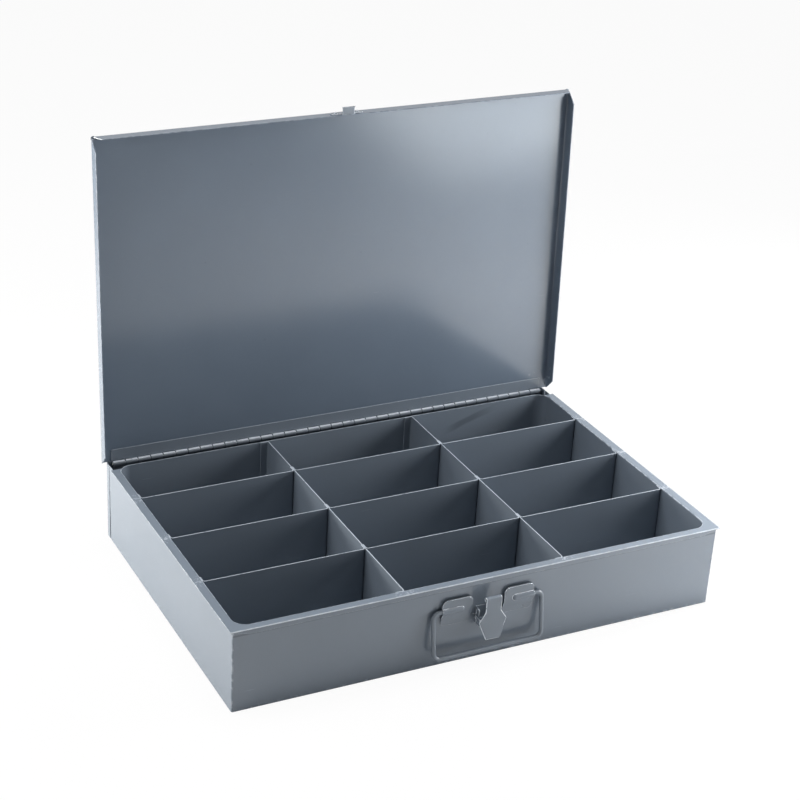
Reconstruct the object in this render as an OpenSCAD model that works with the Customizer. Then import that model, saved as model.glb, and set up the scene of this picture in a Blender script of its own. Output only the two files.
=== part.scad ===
// Sheet-steel compartment box: a folded case with a welded twelve-place tray, a piano-hinged lid,
// a wire bail handle and a pull-down catch. Millimetres, +X right, +Y to the rear, +Z up.
// The origin is the middle of the base, and the lid is drawn open against its stop.

/* [Case] */
// Width across the side walls
box_w = 453; // [390:1:560]
// Depth from the front wall to the rear panel
box_d = 303; // [270:1:360]
// Height of the rim above the base
box_h = 76; // [72:1:110]
// Thickness of all the sheet
sheet = 0.9; // [0.7:0.05:1.1]
// Outer radius of the upright corners
case_corner = 1.6; // [1.2:0.1:4]
// Width of the rear panel's tabs round the corners
rear_tab = 7.5; // [5:0.5:12]
// Slit beside a rear tab at the rim
slit_top = 0.8; // [0.5:0.1:1.5]
// Slit beside a rear tab at the base
slit_base = 2; // [0.5:0.1:3]

/* [Tray] */
// Width of the flat rim at the sides
rim_side = 8; // [6:0.5:14]
// Width of the flat rim at the front
rim_front = 7.5; // [6:0.5:14]
// Overhang of the rim past the side walls
side_over = 2; // [1:0.5:3]
// Overhang of the rim past the front wall
front_over = 1.5; // [1.3:0.1:3]
// Inner radius of the tray's upright corners
tray_corner = 12; // [6:0.5:16]
// Clear gap behind the tray for the hinge
hinge_well = 12.1; // [9:0.1:16]
// Distance from the tray's rear wall back to the end of the side rims
rim_cut = 4.5; // [2:0.5:8]
// Drop of the tray's bare rear edge and of the dividers below the rim
edge_drop = 0.5; // [0.3:0.1:1]
// Height of the turned-down front lip
lip_h = 3.6; // [2.5:0.1:6]
// Length of the taper at each end of the front lip
lip_taper = 14; // [6:1:24]

/* [Dividers] */
// Distance between the two long dividers
mid_col = 149; // [120:1:180]
// Depth of the front row
front_row = 73; // [60:0.5:80]
// Step from one cross divider to the next
row_step = 74.5; // [55:0.5:78]
// Width of the welded flange at a divider's end
flange = 8; // [6:0.5:14]
// Inner radius of a divider's bends
divider_bend = 1.5; // [0.8:0.1:3]

/* [Hinge] */
// Radius of the hinge pin
pin_r = 1.1; // [0.9:0.1:1.4]
// Outer radius of a knuckle
knuckle_r = 2.4; // [2.1:0.1:2.5]
// Radial clearance of a pin in its knuckles and bores
pin_fit = 0.05; // [0.02:0.01:0.08]
// Distance from the hinge axis to the sheet behind each leaf
hinge_off = 2.5; // [2.5:0.1:4]
// Thickness of a hinge leaf
leaf_t = 0.7; // [0.6:0.05:0.9]
// Width of the lid's leaf from the hinge axis
leaf_lid_w = 13; // [8:0.5:16]
// Height of the case's leaf below the hinge axis
leaf_box_h = 12; // [8:0.5:20]
// Length of one knuckle with its gap
knuckle_step = 12; // [8:0.5:16]
// Number of knuckles
knuckle_count = 37; // [25:2:37]
// Clear gap between moving hinge parts
hinge_gap = 0.3; // [0.2:0.05:0.5]

/* [Lid] */
// Angle the lid stands open at its stop
lid_open = 92; // [90:1:105]
// Gap between the rim and the closed lid
lid_gap = 0.5; // [0.3:0.1:1]
// Gap between the rim and a side flange
lid_side_gap = 2; // [1:0.1:3]
// Gap between the rim and the front flange
lid_front_gap = 1.5; // [1.3:0.1:2.5]
// Depth of the lid's flanges
lid_flange = 12; // [10:0.5:14]
// Inner radius of the lid's folds
lid_bend = 1.2; // [0.6:0.1:2]
// Gap left between the open lid's edge and the rear panel
stop_gap = 0.3; // [0.2:0.05:0.6]
// Cut-back of the front flange's ends
front_flange_cut = 4; // [2:0.5:8]

/* [Strike] */
// Width across the strike's feet
strike_w = 30; // [26:0.5:40]
// Height of the strike's feet
strike_h = 7; // [6:0.25:8]
// Height of the feet above the tab
foot_lift = 0.6; // [0.3:0.1:1]
// Drop of the tab below the lid's flange
tab_drop = 0.4; // [0.2:0.1:0.8]
// Width of the strike's tab
tab_w = 11.5; // [9:0.5:14]
// Reach of the tab in front of the lid's flange
tab_reach = 7.2; // [5.5:0.1:9]
// Flare of the tab's end on each side
tab_flare = 0.7; // [0.2:0.1:1.2]
// Radius of a strike rivet
rivet_r = 1.2; // [0.9:0.1:1.5]
// Radius of a rivet's head
rivet_head_r = 2; // [1.8:0.1:2.6]
// Height of a rivet's outer head
rivet_head_h = 0.9; // [0.6:0.1:1.2]
// Height of a rivet's clenched inner head
rivet_clench_h = 0.6; // [0.3:0.1:0.8]

/* [Handle] */
// Radius of the bail's wire
wire_r = 2; // [1.6:0.1:2.4]
// Radial clearance of the wire in its tunnels
wire_fit = 0.08; // [0.04:0.01:0.1]
// Gap between the wire and the front wall
wire_lift = 0.3; // [0.2:0.05:0.5]
// Distance between the bail's legs
bail_w = 102; // [96:1:130]
// Length of the bail from its pivot to the grip
bail_h = 41.5; // [38.5:0.5:43]
// Bend radius of the bail at the ears
bail_top_bend = 5; // [4:0.5:6]
// Bend radius of the bail at the grip
bail_grip_bend = 6; // [5:0.5:14]
// Angle at which the bail hangs off the wall
bail_hang = 8.5; // [6:0.5:14]
// Depth of the bail's pivot below the rim
pivot_drop = 23.5; // [22.5:0.5:25]
// Distance of an ear's inner end from the middle
ear_in = 15; // [14:0.25:18]
// Distance of an ear's outer end from the middle
ear_out = 43; // [38:0.5:43]
// Height of an ear above the bail's pivot
ear_rise_z = 10.5; // [7:0.5:13]
// Corner radius of an ear
ear_corner = 5; // [2:0.5:8]
// Distance of a tunnel's closed end from the middle
tunnel_in = 25.5; // [20:0.5:28]
// Gap between the wire's end and the tunnel's closed end
wire_end_gap = 1; // [0.5:0.1:2]
// Height of the slope that lifts an ear off the wall
joggle_h = 6; // [4:0.5:7]
// Depth of the plate's lower edge below the pivot
plate_drop = 14.5; // [13:0.5:20]
// Corner radius of the plate
plate_corner = 4; // [2:0.5:8]
// Distance of a spot weld's dimple from the middle
weld_x = 34.5; // [28:0.5:37]
// Radius of a spot weld's dimple
weld_r = 1.2; // [0.8:0.1:1.4]
// Depth of a spot weld's dimple
weld_depth = 0.25; // [0.1:0.05:0.4]

/* [Catch] */
// Depth of the catch's rolled top below the rim
curl_drop = 13; // [12.9:0.1:16]
// Outer radius of the rolled top
curl_r = 2.1; // [1.8:0.1:2.4]
// Width of the catch at its top
catch_top_w = 14.5; // [12:0.5:18]
// Width of the catch at its shoulders
catch_w = 25.8; // [25:0.2:27]
// Width of the catch at its lower end
catch_tip_w = 13.5; // [10:0.5:18]
// Height of the catch's neck above its pin
neck_rise = 9.5; // [8:0.5:12]
// Depth of the catch's pin below the rim
catch_pin_drop = 36; // [34:0.5:38]
// Length of the catch below its pin
catch_tail = 15.5; // [12:0.5:18]
// Outward lean of the finger tab
tab_lean = 12; // [5:1:18]
// Gap between the strike's tip and the catch
strike_clear = 0.4; // [0.3:0.1:1]
// Distance of the catch's pin from the front wall
pin_off = 4.5; // [4.5:0.1:5.5]
// Radius of the catch's pin
catch_pin_r = 1.5; // [1.2:0.1:1.8]
// Upward travel of the catch
catch_travel = 8; // [8:0.1:9]
// Radius of a catch leg round its pin
leg_r = 3.2; // [2.6:0.1:3.2]
// Width across the guide cheeks
cheek_w = 21.4; // [20:0.1:21.4]
// Gap between a cheek and a catch leg
cheek_gap = 0.4; // [0.3:0.05:0.6]
// Height of a pin head
pin_head_h = 0.8; // [0.5:0.1:1]
// Radius of a pin head
pin_head_r = 2.3; // [2.1:0.1:2.8]

/* [Hidden] */
$fn = 64;
// Overlap that lets a cut run past a face
past = 1;
paint = [0.43, 0.46, 0.51];
bare = [0.62, 0.64, 0.67];

// Places in the case: the front wall's face, the rear panel's inner face and the tray's inner corners
wall_y = -box_d / 2;
rear_in = box_d / 2 - sheet;
wall_top = box_h - sheet;
rim_x = box_w / 2 + side_over;
rim_y = wall_y - front_over;
tray_lo = [rim_side - rim_x, rim_y + rim_front];
tray_hi = [rim_x - rim_side, rear_in - hinge_well - sheet];
tray_floor = 2 * sheet;
tray_edge = box_h - edge_drop;

// Hinge axis
hinge_y = rear_in - hinge_gap - hinge_off;
hinge_z = box_h + lid_gap - hinge_off;
hinge_len = knuckle_step * knuckle_count;
leaf_back = knuckle_r + hinge_gap;
knuckle_w = knuckle_step - hinge_gap;

// Closed lid: underside, outer top, half width, front face measured off the wall, and rear edge
lid_under = box_h + lid_gap;
lid_top = lid_under + sheet;
lid_x = rim_x + lid_side_gap + sheet;
lid_front = front_over + lid_front_gap + sheet;
fold_r = lid_bend + sheet;
lid_rear = hinge_y - (wall_top - hinge_z + stop_gap - (hinge_off + sheet) * cos(lid_open)) / sin(lid_open);
flange_z = lid_top - lid_flange;
tab_z = flange_z - tab_drop;
feet_z = tab_z + sheet + foot_lift;
tab_tip = lid_front + tab_reach;
rivet_x = (strike_w + tab_w) / 4;
rivet_z = feet_z + strike_h / 2;

// Handle and catch, with s as the distance in front of the wall
pivot_z = box_h - pivot_drop;
pivot_s = wire_r + wire_lift;
ear_top = pivot_z + ear_rise_z;
joggle_top = pivot_z - wire_r - wire_fit - sheet;
joggle_z = joggle_top - joggle_h;
plate_z = pivot_z - plate_drop;
weld_z = (plate_z + joggle_z) / 2;
weld_ball = (weld_r * weld_r + weld_depth * weld_depth) / (2 * weld_depth);
pin_z = box_h - catch_pin_drop;
curl_top = box_h - curl_drop;
catch_s = tab_tip + strike_clear;
curl_s = catch_s + sheet - curl_r;
curl_z = curl_top - curl_r;
tail_z = pin_z - catch_tail;
bend_z = pin_z - leg_r - sheet;
shoulder_z = pin_z + sheet;
neck_z = pin_z + neck_rise;
tail_out = (bend_z - tail_z) * tan(tab_lean);
slot_r = catch_pin_r + wire_fit;
cheek_r = slot_r + sheet;
cheek_lo = pin_z - cheek_r;
cheek_hi = pin_z + catch_travel + cheek_r;
leg_in = cheek_w / 2 + cheek_gap;
pin_half = leg_in + sheet + pin_fit;

// A rectangle with round corners, as exact arcs
module rounded_rect(lo, hi, r) {
    translate([lo.x + r, lo.y]) square([hi.x - lo.x - 2 * r, hi.y - lo.y]);
    translate([lo.x, lo.y + r]) square([hi.x - lo.x, hi.y - lo.y - 2 * r]);
    for (x = [lo.x + r, hi.x - r], y = [lo.y + r, hi.y - r]) {
        translate([x, y]) circle(r);
    }
}

// A quarter of a ring about the origin, in the first quadrant
module quarter_ring(outer, inner) {
    intersection() {
        difference() {
            circle(outer);
            circle(inner);
        }
        square(outer);
    }
}

// A profile in s and z, run along X
module along_x(x0, x1) {
    translate([x0, wall_y, 0]) rotate([90, 0, 90]) linear_extrude(x1 - x0) mirror([1, 0]) children();
}

// An outline in x and z, run forward off the wall
module along_s(s0, s1) {
    translate([0, wall_y - s0, 0]) rotate([90, 0, 0]) linear_extrude(s1 - s0) children();
}

// A profile in y and z, run along X in the case's own frame
module across(x0, x1) {
    translate([x0, 0, 0]) rotate([90, 0, 90]) linear_extrude(x1 - x0) children();
}

// Swings pieces drawn on the closed lid up to its stop
module on_open_lid() {
    translate([0, hinge_y, hinge_z]) rotate([-lid_open, 0, 0]) translate([0, -hinge_y, -hinge_z]) children();
}

// Plan of the case's wall, as a ring one sheet thick
module case_ring() {
    half = [box_w / 2, box_d / 2];
    difference() {
        rounded_rect(-half, half, case_corner);
        rounded_rect([sheet, sheet] - half, half - [sheet, sheet], case_corner - sheet);
    }
}

// The part of the plan that belongs to the rear panel
module rear_zone() {
    translate([-box_w, box_d / 2 - rear_tab]) square([2 * box_w, box_d]);
}

// Bottom, front and sides folded from one sheet
module outer_shell() {
    half = [box_w / 2, box_d / 2];
    edge = box_d / 2 - rear_tab;
    color(paint) {
        difference() {
            linear_extrude(wall_top) case_ring();
            across(-box_w, box_w) polygon([
                [edge - slit_base, sheet],
                [edge - slit_top, wall_top + past],
                [box_d, wall_top + past],
                [box_d, sheet]
            ]);
            translate([0, 0, -past]) linear_extrude(sheet + 2 * past) intersection() {
                case_ring();
                rear_zone();
            }
        }
        linear_extrude(sheet) difference() {
            rounded_rect(-half, half, case_corner);
            intersection() {
                case_ring();
                rear_zone();
            }
        }
    }
}

// Rear wall with a tab wrapped round each corner
module rear_panel() {
    color(paint) linear_extrude(wall_top) intersection() {
        case_ring();
        rear_zone();
    }
}

// Drawn tray with a flat rim on three sides and a turned-down lip at the front
module inner_tray() {
    skin = [sheet, sheet];
    lip_z = wall_top - lip_h;
    color(paint) {
        difference() {
            union() {
                translate([0, 0, sheet]) linear_extrude(tray_edge - sheet) {
                    rounded_rect(tray_lo - skin, tray_hi + skin, tray_corner + sheet);
                }
                translate([-rim_x, rim_y, wall_top]) cube([2 * rim_x, tray_hi.y - rim_cut - rim_y, sheet]);
            }
            translate([0, 0, tray_floor]) linear_extrude(box_h) rounded_rect(tray_lo, tray_hi, tray_corner);
        }
        along_s(front_over - sheet, front_over) polygon([
            [-rim_x + side_over, box_h - sheet / 2],
            [rim_x - side_over, box_h - sheet / 2],
            [rim_x - side_over - lip_taper, lip_z],
            [-rim_x + side_over + lip_taper, lip_z]
        ]);
    }
}

// Plan of a flanged divider: the web runs along +X from the origin, with both end flanges turned to +Y
module channel_plan(length) {
    outer = divider_bend + sheet;
    translate([outer, -sheet]) square([length - 2 * outer, sheet]);
    for (end = [0, 1]) translate([end * length, 0]) mirror([end, 0]) {
        translate([outer, divider_bend]) rotate(180) quarter_ring(outer, divider_bend);
        translate([0, divider_bend]) square([sheet, flange - outer]);
    }
}

// Stands a divider's plan on the tray's floor
module stand_divider() {
    color(paint) translate([0, 0, tray_floor]) linear_extrude(tray_edge - tray_floor) children();
}

// Long divider from the tray's front wall to its rear wall, side = -1 at the left and 1 at the right
module long_divider(side) {
    stand_divider() translate([side * mid_col / 2 - sheet / 2, tray_lo.y]) {
        rotate(90) channel_plan(tray_hi.y - tray_lo.y);
    }
}

// Cross divider in one column (-1, 0 or 1) and one row (0 at the front)
module cross_divider(column, row) {
    web = mid_col - sheet;
    outer_web = tray_hi.x - mid_col / 2 - sheet / 2;
    starts = [tray_lo.x, -web / 2, mid_col / 2 + sheet / 2];
    stand_divider() translate([starts[column + 1], tray_lo.y + front_row + row * row_step]) {
        channel_plan(column == 0 ? web : outer_web);
    }
}

// Places the children at every second knuckle of the hinge, from the one numbered first
module at_knuckles(first) {
    for (i = [first : 2 : knuckle_count - 1]) {
        translate([i * knuckle_step - hinge_len / 2 + hinge_gap / 2, hinge_y, hinge_z]) children();
    }
}

// One knuckle, lying along X from the origin
module knuckle() {
    rotate([0, 90, 0]) cylinder(r = knuckle_r, h = knuckle_w);
}

// Bore for the hinge pin
module hinge_bore() {
    translate([-hinge_len, hinge_y, hinge_z]) rotate([0, 90, 0]) {
        cylinder(r = pin_r + pin_fit, h = 2 * hinge_len);
    }
}

// Leaf welded inside the rear panel, with a strap up to each of its knuckles
module hinge_leaf_case() {
    to_panel = rear_in - hinge_y;
    color(paint) difference() {
        union() {
            translate([-hinge_len / 2, rear_in - leaf_t, hinge_z - leaf_box_h]) {
                cube([hinge_len, leaf_t, leaf_box_h - leaf_back]);
            }
            at_knuckles(0) {
                knuckle();
                translate([0, to_panel - leaf_t, -leaf_back]) cube([knuckle_w, leaf_t, leaf_back]);
                translate([0, 0, -leaf_t]) cube([knuckle_w, to_panel, leaf_t]);
            }
        }
        hinge_bore();
    }
}

// Leaf welded inside the lid, with a strap up to each of its knuckles
module hinge_leaf_lid() {
    color(paint) on_open_lid() difference() {
        union() {
            translate([-hinge_len / 2, hinge_y - leaf_lid_w, lid_under - leaf_t]) {
                cube([hinge_len, leaf_lid_w - leaf_back, leaf_t]);
            }
            at_knuckles(1) {
                knuckle();
                translate([0, -leaf_back, hinge_off - leaf_t]) cube([knuckle_w, leaf_back, leaf_t]);
                translate([0, -leaf_t, 0]) cube([knuckle_w, leaf_t, hinge_off]);
            }
        }
        hinge_bore();
    }
}

// Pin through all the knuckles
module hinge_pin() {
    color(bare) translate([-hinge_len / 2, hinge_y, hinge_z]) rotate([0, 90, 0]) {
        cylinder(r = pin_r, h = hinge_len);
    }
}

// Section of a folded edge: the top face is at v = 0 and the flange's outer face at u = 0
module fold_section() {
    translate([-fold_r, -fold_r]) quarter_ring(fold_r, lid_bend);
}

// Shallow lid with flanges at the front and sides
module lid() {
    front = wall_y - lid_front;
    side_len = lid_rear - front - fold_r;
    drop = lid_flange - fold_r;
    color(paint) on_open_lid() difference() {
        union() {
            // Flat panel, with its two front corners rounded like the folds
            translate([fold_r - lid_x, front + fold_r, lid_under]) {
                cube([2 * (lid_x - fold_r), side_len, sheet]);
            }
            for (x = [fold_r - lid_x, lid_x - fold_r]) {
                translate([x, front + fold_r, lid_under]) cylinder(r = fold_r, h = sheet);
            }
            // Front fold and flange
            translate([fold_r - lid_x, front, lid_top]) rotate([90, 0, 90]) {
                linear_extrude(2 * (lid_x - fold_r)) mirror([1, 0]) fold_section();
            }
            along_s(lid_front - sheet, lid_front) polygon([
                [fold_r - lid_x, lid_top - fold_r],
                [lid_x - fold_r, lid_top - fold_r],
                [lid_x - fold_r - front_flange_cut, flange_z],
                [fold_r - lid_x + front_flange_cut, flange_z]
            ]);
            // Side folds and flanges, with their ends cut at 45 degrees
            for (side = [0, 1]) mirror([side, 0, 0]) {
                translate([lid_x, lid_rear, lid_top]) rotate([90, 0, 0]) {
                    linear_extrude(side_len) fold_section();
                }
                across(lid_x - sheet, lid_x) polygon([
                    [front + fold_r, lid_top - fold_r],
                    [lid_rear, lid_top - fold_r],
                    [lid_rear - drop, flange_z],
                    [front + fold_r + drop, flange_z]
                ]);
            }
        }
        rivet_holes();
    }
}

// Holes for the strike's rivets
module rivet_holes() {
    for (x = [-rivet_x, rivet_x]) {
        along_s(lid_front - sheet - past, lid_front + sheet + past) {
            translate([x, rivet_z]) circle(rivet_r + pin_fit);
        }
    }
}

// Strike riveted to the lid's front flange, with a tab for the catch to hold
module strike() {
    waist = tab_w / 2;
    tip = waist + tab_flare;
    color(paint) on_open_lid() difference() {
        union() {
            along_s(lid_front, lid_front + sheet) {
                rounded_rect([-strike_w / 2, feet_z], [strike_w / 2, feet_z + strike_h], rivet_head_r);
                translate([-waist, tab_z]) square([tab_w, strike_h]);
            }
            translate([0, wall_y, tab_z]) linear_extrude(sheet) mirror([0, 1]) polygon([
                [-waist, lid_front],
                [waist, lid_front],
                [waist, tab_tip - 2 * tab_flare],
                [tip, tab_tip],
                [-tip, tab_tip],
                [-waist, tab_tip - 2 * tab_flare]
            ]);
        }
        rivet_holes();
    }
}

// The two rivets that hold the strike
module strike_rivets() {
    outer = lid_front + sheet;
    inner = lid_front - sheet;
    color(bare) on_open_lid() for (x = [-rivet_x, rivet_x]) translate([x, 0, rivet_z]) {
        along_s(inner, outer) circle(rivet_r);
        along_s(inner - rivet_clench_h, inner) circle(rivet_head_r);
        translate([0, wall_y - outer, 0]) rotate([90, 0, 0]) {
            cylinder(r1 = rivet_head_r, r2 = rivet_r, h = rivet_head_h);
        }
    }
}

// Section of an ear: up the wall, out over a joggle and up again
module ear_section() {
    polygon([
        [0, joggle_z],
        [sheet, joggle_z],
        [sheet + pivot_s, joggle_top],
        [sheet + pivot_s, ear_top],
        [pivot_s, ear_top],
        [pivot_s, joggle_top]
    ]);
}

// One ear with its half-round tunnel for the wire, at the right-hand side
module ear() {
    bore = wire_r + wire_fit;
    intersection() {
        union() {
            difference() {
                along_x(ear_in, ear_out) ear_section();
                along_x(tunnel_in, ear_out + past) translate([pivot_s, pivot_z]) circle(bore);
                translate([tunnel_in, wall_y - pivot_s, pivot_z]) sphere(bore);
            }
            along_x(tunnel_in, ear_out) translate([pivot_s, pivot_z]) {
                quarter_ring(bore + sheet, bore);
                mirror([0, 1]) quarter_ring(bore + sheet, bore);
            }
            translate([tunnel_in, wall_y - pivot_s, pivot_z]) intersection() {
                difference() {
                    sphere(bore + sheet);
                    sphere(bore);
                }
                translate([-2 * bore, -2 * bore, -2 * bore]) cube([2 * bore, 2 * bore, 4 * bore]);
            }
        }
        along_s(0, ear_out) rounded_rect([ear_in, joggle_z - ear_corner], [ear_out, ear_top], ear_corner);
    }
}

// A guide cheek's profile: a rounded rim about the slot that the catch's pin runs in
module cheek_section() {
    difference() {
        union() {
            translate([0, cheek_lo]) square([pin_off, cheek_hi - cheek_lo]);
            translate([pin_off, pin_z]) square([cheek_r, catch_travel]);
            pin_ends() circle(cheek_r);
        }
        translate([pin_off - slot_r, pin_z]) square([2 * slot_r, catch_travel]);
        pin_ends() circle(slot_r);
    }
}

// Places the children at both ends of the catch's travel
module pin_ends() {
    for (z = [pin_z, pin_z + catch_travel]) {
        translate([pin_off, z]) children();
    }
}

// Stamped plate welded to the front wall: two ears for the bail and two cheeks that guide the catch
module handle_plate() {
    foot_r = min(plate_corner, joggle_z - plate_z - sheet);
    color(paint) {
        difference() {
            along_s(0, sheet) {
                translate([-ear_out, plate_z + foot_r]) square([2 * ear_out, joggle_z - plate_z - foot_r]);
                translate([foot_r - ear_out, plate_z]) square([2 * (ear_out - foot_r), foot_r]);
                for (x = [foot_r - ear_out, ear_out - foot_r]) {
                    translate([x, plate_z + foot_r]) circle(foot_r);
                }
                translate([-cheek_w / 2, cheek_lo - sheet]) square([cheek_w, cheek_hi - cheek_lo + sheet]);
            }
            for (x = [-weld_x, weld_x]) {
                translate([x, wall_y - sheet - weld_ball + weld_depth, weld_z]) sphere(weld_ball);
            }
        }
        for (side = [0, 1]) mirror([side, 0, 0]) {
            ear();
            along_x(cheek_w / 2 - sheet, cheek_w / 2) cheek_section();
        }
    }
}

// A quarter bend of the bail's wire, from +X round to -Z
module wire_bend(bend) {
    rotate([90, 0, 0]) rotate_extrude(angle = 90) translate([bend, 0]) circle(wire_r);
}

// Wire bail hanging in the ears
module bail_handle() {
    half = bail_w / 2;
    end_x = tunnel_in + wire_end_gap;
    color(paint) translate([0, wall_y - pivot_s, pivot_z]) rotate([-bail_hang, 0, 0]) {
        for (side = [0, 1]) mirror([side, 0, 0]) {
            translate([end_x, 0, 0]) rotate([0, 90, 0]) {
                cylinder(r = wire_r, h = half - bail_top_bend - end_x);
            }
            translate([half - bail_top_bend, 0, -bail_top_bend]) wire_bend(bail_top_bend);
            translate([half, 0, bail_grip_bend - bail_h]) {
                cylinder(r = wire_r, h = bail_h - bail_grip_bend - bail_top_bend);
            }
            translate([half - bail_grip_bend, 0, bail_grip_bend - bail_h]) {
                mirror([0, 0, 1]) wire_bend(bail_grip_bend);
            }
        }
        translate([bail_grip_bend - half, 0, -bail_h]) rotate([0, 90, 0]) {
            cylinder(r = wire_r, h = bail_w - 2 * bail_grip_bend);
        }
    }
}

// Side section of the catch: rolled top, flat face and leaning finger tab
module catch_section() {
    outer = catch_s + sheet;
    translate([curl_s, curl_z]) difference() {
        circle(curl_r);
        circle(curl_r - sheet);
    }
    translate([catch_s, bend_z]) square([sheet, curl_z - bend_z]);
    polygon([
        [catch_s, bend_z],
        [outer, bend_z],
        [outer + tail_out, tail_z],
        [catch_s + tail_out, tail_z]
    ]);
}

// Front outline of the catch
module catch_outline() {
    polygon([
        [-catch_top_w / 2, curl_top + past],
        [catch_top_w / 2, curl_top + past],
        [catch_top_w / 2, neck_z],
        [catch_w / 2, shoulder_z],
        [catch_tip_w / 2, tail_z],
        [-catch_tip_w / 2, tail_z],
        [-catch_w / 2, shoulder_z],
        [-catch_top_w / 2, neck_z]
    ]);
}

// Pull-down catch with a leg at each side of the guide cheeks
module catch() {
    color(paint) difference() {
        union() {
            intersection() {
                along_x(-catch_w, catch_w) catch_section();
                along_s(0, catch_s + sheet + tail_out) catch_outline();
            }
            for (x = [leg_in, -leg_in - sheet]) along_x(x, x + sheet) {
                translate([pin_off, pin_z]) circle(leg_r);
                translate([pin_off, pin_z - leg_r]) square([catch_s + sheet / 2 - pin_off, 2 * leg_r]);
            }
        }
        along_x(-catch_w, catch_w) translate([pin_off, pin_z]) circle(catch_pin_r + pin_fit);
    }
}

// Headed pin that carries the catch and runs in the cheeks' slots
module catch_pin() {
    color(bare) {
        along_x(-pin_half, pin_half) translate([pin_off, pin_z]) circle(catch_pin_r);
        for (x = [pin_half, -pin_half - pin_head_h]) {
            along_x(x, x + pin_head_h) translate([pin_off, pin_z]) circle(pin_head_r);
        }
    }
}

outer_shell();
rear_panel();
inner_tray();
long_divider(-1);  // long_divider_left
long_divider(1);  // long_divider_right
cross_divider(-1, 0);  // cross_divider_left_front
cross_divider(-1, 1);  // cross_divider_left_centre
cross_divider(-1, 2);  // cross_divider_left_rear
cross_divider(0, 0);  // cross_divider_middle_front
cross_divider(0, 1);  // cross_divider_middle_centre
cross_divider(0, 2);  // cross_divider_middle_rear
cross_divider(1, 0);  // cross_divider_right_front
cross_divider(1, 1);  // cross_divider_right_centre
cross_divider(1, 2);  // cross_divider_right_rear
hinge_leaf_case();
hinge_leaf_lid();
hinge_pin();
lid();
strike();
strike_rivets();
handle_plate();
bail_handle();
catch();
catch_pin();
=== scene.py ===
# %% [markdown]
# # A steel compartment box with its lid open
# The imported model comes in first and stays fixed: it holds every piece at its true place, in metres.
# The looks are built around it.

# %% Load the frame
import math
import bmesh
import bpy
from mathutils import Matrix, Vector


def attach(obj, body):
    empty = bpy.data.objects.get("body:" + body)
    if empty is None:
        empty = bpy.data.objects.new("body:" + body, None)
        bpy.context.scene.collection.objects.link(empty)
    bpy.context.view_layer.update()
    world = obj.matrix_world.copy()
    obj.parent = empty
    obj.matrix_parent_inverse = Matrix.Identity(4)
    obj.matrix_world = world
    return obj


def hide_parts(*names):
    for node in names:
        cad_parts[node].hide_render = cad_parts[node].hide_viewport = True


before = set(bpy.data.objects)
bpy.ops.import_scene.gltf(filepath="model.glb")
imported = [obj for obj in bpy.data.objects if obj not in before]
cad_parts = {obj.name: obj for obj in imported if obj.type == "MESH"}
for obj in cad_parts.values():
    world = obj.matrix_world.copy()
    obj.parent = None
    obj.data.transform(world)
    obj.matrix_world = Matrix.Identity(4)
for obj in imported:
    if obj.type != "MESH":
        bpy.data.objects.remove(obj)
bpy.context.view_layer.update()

scene = bpy.context.scene
scene.view_settings.view_transform = "Standard"

# %% [markdown]
# ## The camera
# A long lens looks down on the box from its front left. The direction is given as a turn, a dip and a slight
# roll, because these are easy to read and to correct. A camera looks along its own -Z, so the three axes are
# worked out and put into its matrix. The small shift stands for a picture that was cropped off centre.

# %% Set the camera
eye = Vector((-0.7031, -1.3066, 0.8829))
turn, dip, roll = 0.4678, 0.4730, 0.0502
ahead = Vector((math.sin(turn) * math.cos(dip), math.cos(turn) * math.cos(dip), -math.sin(dip)))
level = Vector((math.cos(turn), -math.sin(turn), 0))
over = level.cross(ahead)
right = level * math.cos(roll) + over * math.sin(roll)
up = over * math.cos(roll) - level * math.sin(roll)
lens = bpy.data.cameras.new("camera")
lens.lens = 85.9
lens.shift_x = 0.0432
lens.shift_y = 0.0543
camera = bpy.data.objects.new("camera", lens)
camera.matrix_world = Matrix.Translation(eye) @ Matrix((right, up, -ahead)).transposed().to_4x4()
scene.collection.objects.link(camera)
scene.camera = camera
print("camera looks along", [round(c, 3) for c in ahead])

# %% [markdown]
# ## Shader maths as plain sums
# A material is a small network of nodes. This class wraps one socket, so that adding or multiplying two of them
# adds a Math node, and the pattern reads like a formula. Every other kind of node comes from one method.

# %% A wire between nodes
class Wire:
    def __init__(self, tree, socket=None):
        self.tree = tree
        self.socket = socket

    def node(self, kind, settings=None, sockets=None, out=0):
        made = self.tree.nodes.new("ShaderNode" + kind)
        for key, value in (settings or {}).items():
            setattr(made, key, value)
        for key, value in (sockets or {}).items():
            if isinstance(value, Wire):
                self.tree.links.new(value.socket, made.inputs[key])
            else:
                made.inputs[key].default_value = value
        return Wire(self.tree, made.outputs[out] if len(made.outputs) else None)

    def maths(self, operation, first, second=0.0):
        return self.node("Math", {"operation": operation}, {0: first, 1: second})

    def __add__(self, other):
        return self.maths("ADD", self, other)

    def __radd__(self, other):
        return self.maths("ADD", other, self)

    def __sub__(self, other):
        return self.maths("SUBTRACT", self, other)

    def __rsub__(self, other):
        return self.maths("SUBTRACT", other, self)

    def __mul__(self, other):
        return self.maths("MULTIPLY", self, other)

    def __rmul__(self, other):
        return self.maths("MULTIPLY", other, self)

    def between(self, low, high):
        return self.node("MapRange", {"interpolation_type": "SMOOTHSTEP"},
                         {"Value": self, "From Min": low, "From Max": high})

    def near(self, place, width):
        return 1 - self.maths("ABSOLUTE", self - place).between(width * 0.4, width)

    def most(self, other):
        return self.maths("MAXIMUM", self, other)

    def noise(self, where, scale, detail=2.0):
        return self.node("TexNoise", None, {"Vector": where, "Scale": scale, "Detail": detail})

    def mix(self, share, first, second):
        return self.node("Mix", {"data_type": "RGBA"}, {0: share, 6: first, 7: second}, out=2)


def new_tree(material):
    material.use_nodes = True
    material.node_tree.nodes.clear()
    return Wire(material.node_tree)


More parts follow.
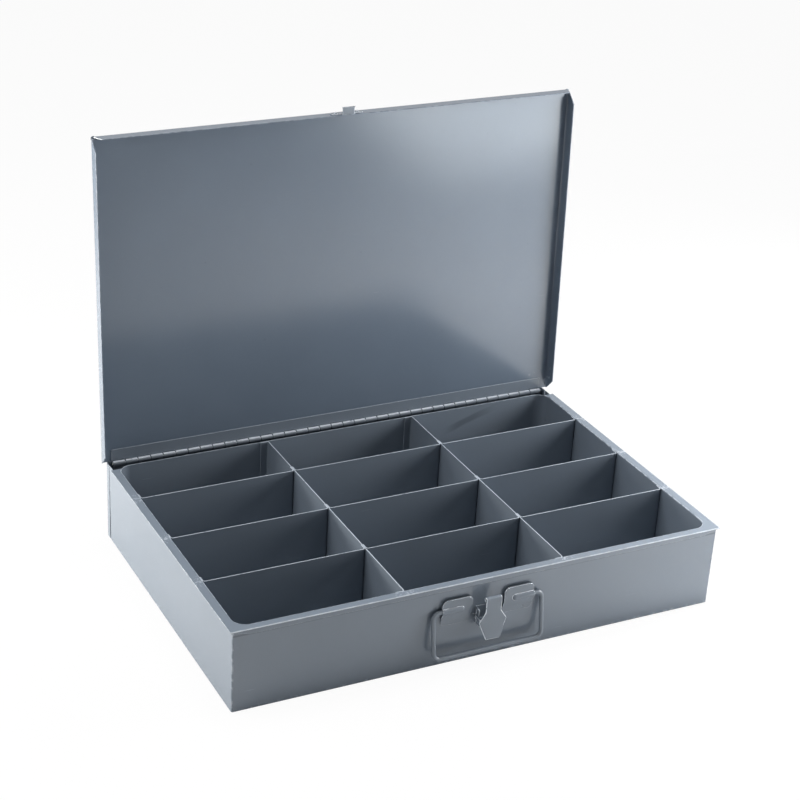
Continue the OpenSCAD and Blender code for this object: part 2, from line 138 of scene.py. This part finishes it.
print("wire has", len([n for n in dir(Wire) if not n.startswith("__")]), "named methods")

# %% [markdown]
# ## The floor and the white round it
# The box stands on white paper. The camera sees it as plain white with a little of the lit paper in it, so that
# the soft shadow under the box stays. In reflections it is mostly the lit paper, with a share of a cooler white,
# because the lid mirrors the paper before the box.

# %% Lay the paper
def paper_white():
    material = bpy.data.materials.new("paper_white")
    wire = new_tree(material)
    seen = wire.node("LightPath", out="Is Camera Ray")
    gloss = wire.node("LightPath", out="Is Glossy Ray")
    through = wire.node("LightPath", out="Is Transmission Ray")
    grain = wire.noise(wire.node("TexCoord", out="Object"), 300.0)
    colour = wire.mix(grain, (0.76, 0.76, 0.76, 1), (0.80, 0.80, 0.80, 1))
    lit = wire.node("BsdfDiffuse", None, {"Color": colour})
    tone = wire.mix(gloss, (1, 1, 1, 1), (0.78, 0.90, 1.0, 1))
    white = wire.node("Emission", None, {"Color": tone, "Strength": 1.0})
    share = (seen * 0.95).most((gloss * 0.12).most(through))
    shown = wire.node("MixShader", None, {0: share, 1: lit, 2: white})
    wire.node("OutputMaterial", None, {"Surface": shown})
    return material


sheet = bmesh.new()
bmesh.ops.create_grid(sheet, x_segments=8, y_segments=8, size=6.0)
bmesh.ops.translate(sheet, verts=sheet.verts, vec=(0, 0, -0.0004))
floor_mesh = bpy.data.meshes.new("floor")
sheet.to_mesh(floor_mesh)
sheet.free()
floor = bpy.data.objects.new("floor", floor_mesh)
floor_mesh.materials.append(paper_white())
scene.collection.objects.link(floor)
print("floor is", round(floor.dimensions.x, 2), "m wide")

# %% [markdown]
# ## The room
# A dim dome fills the shadows. It is white for the camera, like the paper, and nearly so in reflections.

# %% Fill the room
world = bpy.data.worlds.new("room")
scene.world = world
world.use_nodes = True
world.node_tree.nodes.clear()
room = Wire(world.node_tree)
direct = room.node("LightPath", out="Is Camera Ray")
mirrored = room.node("LightPath", out="Is Glossy Ray")
passed = room.node("LightPath", out="Is Transmission Ray")
fill = room.node("Background", None, {"Color": (0.95, 0.98, 1, 1), "Strength": 0.03})
white = room.node("Background", None, {"Color": (1, 1, 1, 1), "Strength": 1.0})
both = room.node("MixShader", None, {0: direct.most((mirrored * 0.75).most(passed)), 1: fill, 2: white})
room.node("OutputWorld", None, {"Surface": both})
print("room fill 0.03")

# %% [markdown]
# ## Soft lamps
# Large panels give soft edges to every shadow. Three at the right light the rims and the compartments, and one
# above with a narrow spread lights the paper before the box, which throws that light back at the front wall. One
# lies on the paper and shines up, for the lid to mirror, and a thin one high in front draws the glints along the
# front fold. A warm one low at the left lights the side wall, and two hang high for everything that faces up.

# %% Hang the lamps
def soft_lamp(name, place, aim, width, height, power, tint=(1, 1, 1), spread=180.0):
    data = bpy.data.lights.new(name, "AREA")
    data.shape = "RECTANGLE"
    data.size = width
    data.size_y = height
    data.energy = power
    data.color = tint
    data.spread = math.radians(spread)
    lamp = bpy.data.objects.new(name, data)
    lamp.visible_camera = False
    away = Vector(aim) - Vector(place)
    lamp.matrix_world = Matrix.Translation(place) @ away.to_track_quat("-Z", "Y").to_matrix().to_4x4()
    scene.collection.objects.link(lamp)
    print(name, power, "W")


soft_lamp("lamp_right", (0.85, -0.17, 0.42), (0.1, 0.0, 0.05), 0.5, 0.4, 9.0)
soft_lamp("lamp_right_rear", (0.95, 0.24, 0.45), (0.42, -0.28, 0.0), 0.4, 0.4, 6.0)
soft_lamp("lamp_floor", (0.20, -0.13, 0.85), (0.50, -0.40, 0.0), 0.3, 0.3, 1.6, spread=60.0)
soft_lamp("lamp_front_right", (1.05, -0.68, 0.16), (0.2, -0.15, 0.05), 0.4, 0.28, 2.8)
soft_lamp("lamp_glint", (0.78, -0.97, 1.50), (0.0, -0.15, 0.076), 0.88, 0.15, 2.5)
soft_lamp("lamp_paper", (1.0, -0.95, 0.01), (1.0, -0.90, 0.5), 0.74, 0.70, 11.5, (0.92, 0.97, 1.0))
soft_lamp("lamp_left", (-0.85, 0.50, 0.14), (-0.2, 0.10, 0.04), 0.6, 0.24, 11.5, (1.0, 0.95, 0.88))
soft_lamp("lamp_left_high", (-1.2, 0.15, 0.95), (0.0, 0.0, 0.05), 0.8, 0.8, 12.5)
soft_lamp("lamp_above", (0.1, 0.25, 2.1), (0.05, 0.05, 0.0), 0.8, 0.8, 21.0)

# %% [markdown]
# ## Grey baked enamel
# The sheet steel has a blue-grey enamel, half glossy, with a fine orange-peel skin. Noise in the object's own
# coordinates clouds the colour, roughens the gloss and adds specks and faint scratches, and a slow wave in the
# bump bends the reflections as thin sheet does. Each piece carries an attribute called edge, which is 1 on its
# rounded edges, where handling has worn the enamel paler, and on some faces that are painted pale as a highlight.
# The two ragged numbers say how broken that paleness is, metal how pale it is, and steel how far the wear goes
# down to bare metal, as on the hardware. A piece's marks mix in a paler and a darker colour, for wear, welds and
# stains, and on some pieces for painted highlights and painted shade.

# %% Mix the enamel
def enamel(name, colour, gloss, paleness, ragged=(0.42, 0.62), waves=30.0, marks=None, metal=0.17, steel=0.0):
    material = bpy.data.materials.new(name)
    wire = new_tree(material)
    where = wire.node("TexCoord", out="Object")
    cloud = wire.noise(where, 14.0, 4.0)
    skin = wire.noise(where, 520.0)
    grit = wire.noise(where, 1500.0, 1.0)
    drawn = wire.node("Mapping", None, {"Vector": where, "Rotation": (0.3, 0.5, 0.9), "Scale": (25, 900, 900)})
    scratch = wire.noise(drawn, 1.0, 3.0).between(0.73, 0.79)
    edge = wire.node("Attribute", {"attribute_name": "edge"}, out="Fac")
    # the edge attribute turns the enamel pale, as wear and, on some faces, as a painted highlight
    wear_and_painted_highlight = edge * wire.noise(where, 160.0, 4.0).between(*ragged) * paleness
    dark = tuple(c * 0.94 for c in colour) + (1,)
    light = tuple(c * 1.06 for c in colour) + (1,)
    pale = tuple(c * 1.3 + metal for c in colour) + (1,)
    paint = wire.mix(cloud, dark, light)
    paint = wire.mix(grit.between(0.74, 0.80) * 0.3, paint, pale)
    paint = wire.mix(scratch * 0.10, paint, pale)
    paint = wire.mix(wear_and_painted_highlight, paint, pale)
    if marks:
        # the marks mix in a paler colour, for wear and for painted highlights, and a darker one, for stains and
        # for painted shade
        pale_marks_and_painted_highlight, dark_marks_and_painted_shade = marks(wire, where)
        paint = wire.mix(pale_marks_and_painted_highlight, paint, tuple(c * 1.2 + 0.30 for c in colour) + (1,))
        paint = wire.mix(dark_marks_and_painted_shade, paint, tuple(c * 0.45 for c in colour) + (1,))
    rough = gloss + (cloud - 0.5) * 0.08 + scratch * 0.10 + wear_and_painted_highlight * 0.08
    height = skin + wire.noise(where, 5.0, 1.0) * waves
    bump = wire.node("Bump", None, {"Strength": 0.12, "Distance": 0.0002, "Height": height})
    shader = wire.node("BsdfPrincipled", None, {"Base Color": paint, "Roughness": rough, "Normal": bump,
                                                "Metallic": wear_and_painted_highlight * steel if steel else 0.0,
                                                "Specular IOR Level": 0.7})
    wire.node("OutputMaterial", None, {"Surface": shader})
    print(name, "has", len(material.node_tree.nodes), "nodes")
    return material


grey = (0.166, 0.198, 0.238)
divider_paint = enamel("divider_enamel", grey, 0.24, 0.9, (0.25, 0.45))
handled = tuple(c * 0.93 for c in grey)
plate_paint = enamel("plate_enamel", handled, 0.18, 1.0, (0.30, 0.50), 0.0, metal=0.5, steel=0.85)
hardware_paint = enamel("hardware_enamel", handled, 0.20, 1.0, (0.24, 0.44), 0.0, metal=0.5, steel=0.85)
bail_paint = enamel("bail_enamel", handled, 0.11, 0.6, waves=0.0)

# %% [markdown]
# ## Marks and painted shade on the shell, the lid and the hinge
# The front wall is painted darker in a line under the tray's lip, and the side walls in one under the rim, as the
# shade that these overhangs cast. The shell's lower edge has bare specks. The lid is scuffed at its lower right
# corner, where it meets the case, and the hinge's knuckles are painted darker below their tops, as shade. A mask
# is a product of soft steps along the axes, broken up by noise.

# %% Paint the shell and the lid
front_wall_y = -0.1512
side_wall_x = 0.2260
lip_step_z = 0.0709
rim_step_z = 0.0739
knuckle_shade_z = 0.0752


def along(wire, where, axis):
    return wire.node("SeparateXYZ", None, {"Vector": where}, out=axis)


def shell_chips_and_painted_shade(wire, where):
    x, y, z = (along(wire, where, axis) for axis in "XYZ")
    front = 1 - y.between(front_wall_y - 0.0002, front_wall_y)
    step = z.near(lip_step_z, 0.0012)
    side = wire.maths("ABSOLUTE", x).between(side_wall_x, side_wall_x + 0.0003) * z.near(rim_step_z, 0.0012)
    bottom = 1 - z.between(0.0008, 0.0030)
    speck = wire.noise(where, 240.0, 4.0)
    chips = bottom * speck.between(0.52, 0.66) * 0.35
    # painted shade: darker lines under the tray's lip and under the rim
    painted_shade_lines = (front * step * 0.55).most(side * speck.between(0.40, 0.56) * 0.6)
    return chips, painted_shade_lines


def lid_marks(wire, where):
    x, z = along(wire, where, "X"), along(wire, where, "Z")
    corner = x.between(0.196, 0.222) * z.between(0.076, 0.080) * (1 - z.between(0.084, 0.102))
    scuff = corner * wire.noise(where, 190.0, 5.0).between(0.56, 0.66) * 0.4
    fleck = wire.noise(where, 330.0, 2.0).between(0.77, 0.80) * 0.5
    return scuff, fleck


# painted shade: the knuckles are painted darker below their tops
def hinge_painted_shade(wire, where):
    z = along(wire, where, "Z")
    return 0.0, (1 - z.between(knuckle_shade_z, knuckle_shade_z + 0.0007)) * 0.55


hinge_paint = enamel("hinge_enamel", tuple(c * 0.95 for c in grey), 0.22, 1.0, (0.25, 0.45), 0.0, hinge_painted_shade, 0.3)
sheet_paint = enamel("shell_enamel", grey, 0.19, 0.6, marks=shell_chips_and_painted_shade)
# painted shade: the lid's enamel is a darker copy of the case's blue-grey
lid_paint_darkened_as_shade = enamel("lid_enamel_darkened_as_shade", (0.130, 0.164, 0.211), 0.17, 0.6, waves=45.0, marks=lid_marks)

# %% [markdown]
# ## Marks and a painted highlight on the tray
# Where each divider meets the rim, its weld has left a pale line and a scatter of bare specks on the rim. The
# front fold is painted pale, partly as wear from hands and partly as the highlight along it. At the rear of the
# right column something has left a soft, dark, slanting smear on the wall.

# %% Paint the tray
cross_weld_y = (-0.073, 0.0015, 0.076)
long_weld_x = (-0.0745, 0.0745)
tray_rear_y = 0.1365
rim_marks_z = 0.0748
front_fold_y = -0.1527
smear_z, smear_slope, smear_width = 0.0125, 0.35, 0.0055


def at_welds(x, y, across, lengthwise):
    masks = [y.near(place, across) for place in cross_weld_y]
    masks += [x.near(place, lengthwise) for place in long_weld_x]
    found = masks[0]
    for mask in masks[1:]:
        found = found.most(mask)
    return found


def tray_marks_and_painted_highlight(wire, where):
    x, y, z = (along(wire, where, axis) for axis in "XYZ")
    broken = wire.noise(where, 420.0, 3.0).between(0.42, 0.60)
    specks = wire.noise(where, 650.0, 3.0).between(0.55, 0.64)
    rim = z.between(rim_marks_z, rim_marks_z + 0.0007)
    line = at_welds(x, y, 0.0020, 0.0020)
    round_it = at_welds(x, y, 0.011, 0.014)
    # painted highlight and wear: the front fold is painted pale
    fold = (1 - y.between(front_fold_y, front_fold_y + 0.0005)) * z.between(0.0749, 0.0754)
    wear_and_painted_highlight = fold * wire.noise(where, 120.0, 4.0).between(0.20, 0.42) * 0.8
    pale_marks_and_painted_highlight = rim * (line * broken * 0.6).most(round_it * specks * 0.5).most(wear_and_painted_highlight)
    rear = y.between(tray_rear_y, tray_rear_y + 0.0005)
    bend = z - x * smear_slope - (wire.noise(where, 30.0, 1.0) - 0.5) * 0.012
    smear = bend.near(smear_z, smear_width) * x.between(0.108, 0.128) * (1 - x.between(0.140, 0.172))
    dark_marks_and_painted_shade = rear * smear * 0.5
    return pale_marks_and_painted_highlight, dark_marks_and_painted_shade


tray_paint = enamel("tray_enamel", grey, 0.22, 0.75, (0.34, 0.54), marks=tray_marks_and_painted_highlight)

# %% [markdown]
# ## The hinge pin's steel
# The wire through the knuckles is bare drawn steel, with fine lines along its length.

# %% Draw the steel
def drawn_steel():
    material = bpy.data.materials.new("drawn_steel")
    wire = new_tree(material)
    where = wire.node("TexCoord", out="Object")
    along_wire = wire.node("Mapping", None, {"Vector": where, "Scale": (60, 4000, 4000)})
    lines = wire.noise(along_wire, 1.0, 3.0)
    colour = wire.mix(lines, (0.42, 0.42, 0.43, 1), (0.60, 0.60, 0.60, 1))
    shader = wire.node("BsdfPrincipled", None,
                       {"Base Color": colour, "Metallic": 1.0, "Roughness": 0.25 + lines * 0.15})
    wire.node("OutputMaterial", None, {"Surface": shader})
    return material


pin_steel = drawn_steel()
print("steel ready")

# %% [markdown]
# ## Rounding the edges
# No folded or cut sheet has a perfectly sharp edge, and the thin bright lines along real edges come from their
# small rounding. Each CAD solid is copied and its loose triangles are merged, flat faces are joined, and the
# sharp edges are bevelled. Folds can be picked out by a test and get a wider bevel first, and edges too short
# for the bevel are passed over. The new faces are marked in the attribute edge, for the worn enamel, unless the
# wide ones keep their paint. So are the faces that the last test picks, which are painted pale as a highlight
# and as wear. A modifier that weighs normals by area keeps the large faces flat.

# %% Copy and round a solid
flat_angle, sharp_angle, shading_angle = (math.radians(a) for a in (0.5, 30, 50))


def sharp_edges(solid, shortest=0.0, test=None):
    found = []
    for e in solid.edges:
        if len(e.link_faces) == 2 and e.calc_face_angle(0) > sharp_angle and e.calc_length() > shortest:
            if test is None or test((e.verts[0].co + e.verts[1].co) / 2):
                found.append(e)
    return found


def rounded(node, body, material, width, shortest=0.0, wide=None, wide_width=0.0, wide_worn=1.0, painted_highlight_and_wear=None):
    solid = bmesh.new()
    solid.from_mesh(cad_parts[node].data)
    mark = solid.faces.layers.float.new("edge")
    bmesh.ops.remove_doubles(solid, verts=solid.verts, dist=1e-6)
    bmesh.ops.dissolve_limit(solid, angle_limit=flat_angle, verts=solid.verts, edges=solid.edges)
    passes = [(wide, wide_width, 4, wide_worn)] if wide else []
    for test, offset, segments, paleness in passes + [(None, width, 2, 1.0)]:
        made = bmesh.ops.bevel(solid, geom=sharp_edges(solid, shortest, test), offset=offset, offset_type="OFFSET",
                               affect="EDGES", segments=segments, profile=0.5, material=-1)
        for f in made["faces"]:
            f[mark] = paleness
    # faces that the last test picks are painted pale, as a highlight and as wear
    for f in solid.faces:
        f.smooth = True
        if painted_highlight_and_wear and painted_highlight_and_wear(f.normal, f.calc_center_median()):
            f[mark] = 1.0
    mesh = bpy.data.meshes.new(node + "_finished")
    solid.to_mesh(mesh)
    solid.free()
    mesh.set_sharp_from_angle(angle=shading_angle)
    mesh.materials.clear()
    mesh.materials.append(material)
    piece = bpy.data.objects.new(node + "_finished", mesh)
    scene.collection.objects.link(piece)
    normals = piece.modifiers.new("flat_faces", "WEIGHTED_NORMAL")
    normals.keep_sharp = True
    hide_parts(node)
    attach(piece, body)
    print(node, len(mesh.polygons), "faces")
    return piece


print("solids to finish:", len(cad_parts))

# %% [markdown]
# ## The case
# The shell is folded from one sheet, so its edges get a little more rounding than a cut edge has. Its rounded
# vertical corners are painted pale, as the highlight along them and as wear. The tray's rim turns down into the
# walls and, at the front, into the lip, and these bends are rounder still, and the top of the tray's rear edge is
# painted pale as a highlight. The dividers are plain flanged sheets, their upper edges painted pale as the
# highlight that the light from above draws on them.

# %% Finish the case
rim_top_z = 0.0759
tray_mouth_x = 0.2215
tray_mouth_y = -0.1465
front_lip_y = -0.1529
fold_round, panel_round, tray_round, thin_round = 0.0004, 0.00025, 0.00022, 0.00012
bend_round = 0.0008
facing_up = 0.9


def tray_fold(p):
    inner = p.z > rim_top_z and abs(p.x) < tray_mouth_x and p.y > tray_mouth_y
    return inner or (p.z > rim_top_z and p.y < front_lip_y)


# painted highlight and wear: the shell's rounded vertical corners are painted pale
rounded("outer_shell", "case", sheet_paint, fold_round,
        painted_highlight_and_wear=lambda n, c: abs(n.x * n.y) > 0.1)
rounded("rear_panel", "case", sheet_paint, panel_round)
# painted highlight: the top of the tray's rear edge is painted pale
rounded("inner_tray", "case", tray_paint, tray_round, wide=tray_fold, wide_width=bend_round,
        painted_highlight_and_wear=lambda n, c: n.z > facing_up and c.y > tray_rear_y)
# painted highlight: each divider's top face is painted pale
for name in sorted(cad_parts):
    if "_divider_" in name:
        rounded(name, "case", divider_paint, thin_round,
                painted_highlight_and_wear=lambda n, c: n.z > facing_up and c.z > 0.075)

# %% [markdown]
# ## The lid and its hinge
# The lid is one folded panel. The tops of the hinge's knuckles are painted pale, as the highlight along them and
# as wear from use, those of the lid also on the side that lies on top when it is shut. The ends of each are
# rounded and keep their enamel, so that a dark notch shows between one and the next.

# %% Finish the lid and hinge
hinge_y, hinge_z = 0.1478, 0.0740
knuckle_least, knuckle_most = 0.0022, 0.0026
knuckle_round, small_round, pin_round = 0.0005, 0.0002, 0.00015
knuckle_crown = 0.82


def from_axis(p):
    return math.hypot(p.y - hinge_y, p.z - hinge_z)


def knuckle_end(p):
    return knuckle_least < from_axis(p) < knuckle_most


def on_knuckle(n, c):
    return abs(n.x) < 0.1 and from_axis(c) < knuckle_most


# the knuckle tops are painted pale, as a highlight and as wear
def case_knuckle_top(n, c):
    return n.z > knuckle_crown and on_knuckle(n, c)


def lid_knuckle_top(n, c):
    return max(n.y, n.z) > knuckle_crown and on_knuckle(n, c)


rounded("lid", "lid", lid_paint_darkened_as_shade, panel_round, shortest=0.0006)
rounded("hinge_leaf_lid", "lid", hinge_paint, thin_round, wide=knuckle_end, wide_width=knuckle_round,
        wide_worn=0.0, painted_highlight_and_wear=lid_knuckle_top)
rounded("hinge_leaf_case", "case", hinge_paint, thin_round, wide=knuckle_end, wide_width=knuckle_round,
        wide_worn=0.0, painted_highlight_and_wear=case_knuckle_top)
rounded("hinge_pin", "case", pin_steel, pin_round)
rounded("strike", "lid", hardware_paint, small_round)
rounded("strike_rivets", "lid", hardware_paint, small_round)

# %% [markdown]
# ## The handle and the catch
# The stamped plate carries the wire bail and the catch. They are enamelled with the box, and rubbed down to the
# steel along their edges. The wire is glossier, so that it draws thin highlights.

# %% Finish the hardware
rounded("handle_plate", "case", plate_paint, small_round)
rounded("bail_handle", "bail", bail_paint, small_round)
rounded("catch_pin", "catch_pin", hardware_paint, pin_round)
rounded("catch", "catch", hardware_paint, fold_round)

# %% [markdown]
# ## The finished size
# The rounding only takes material away, so the finished box fills the same space as the frame.
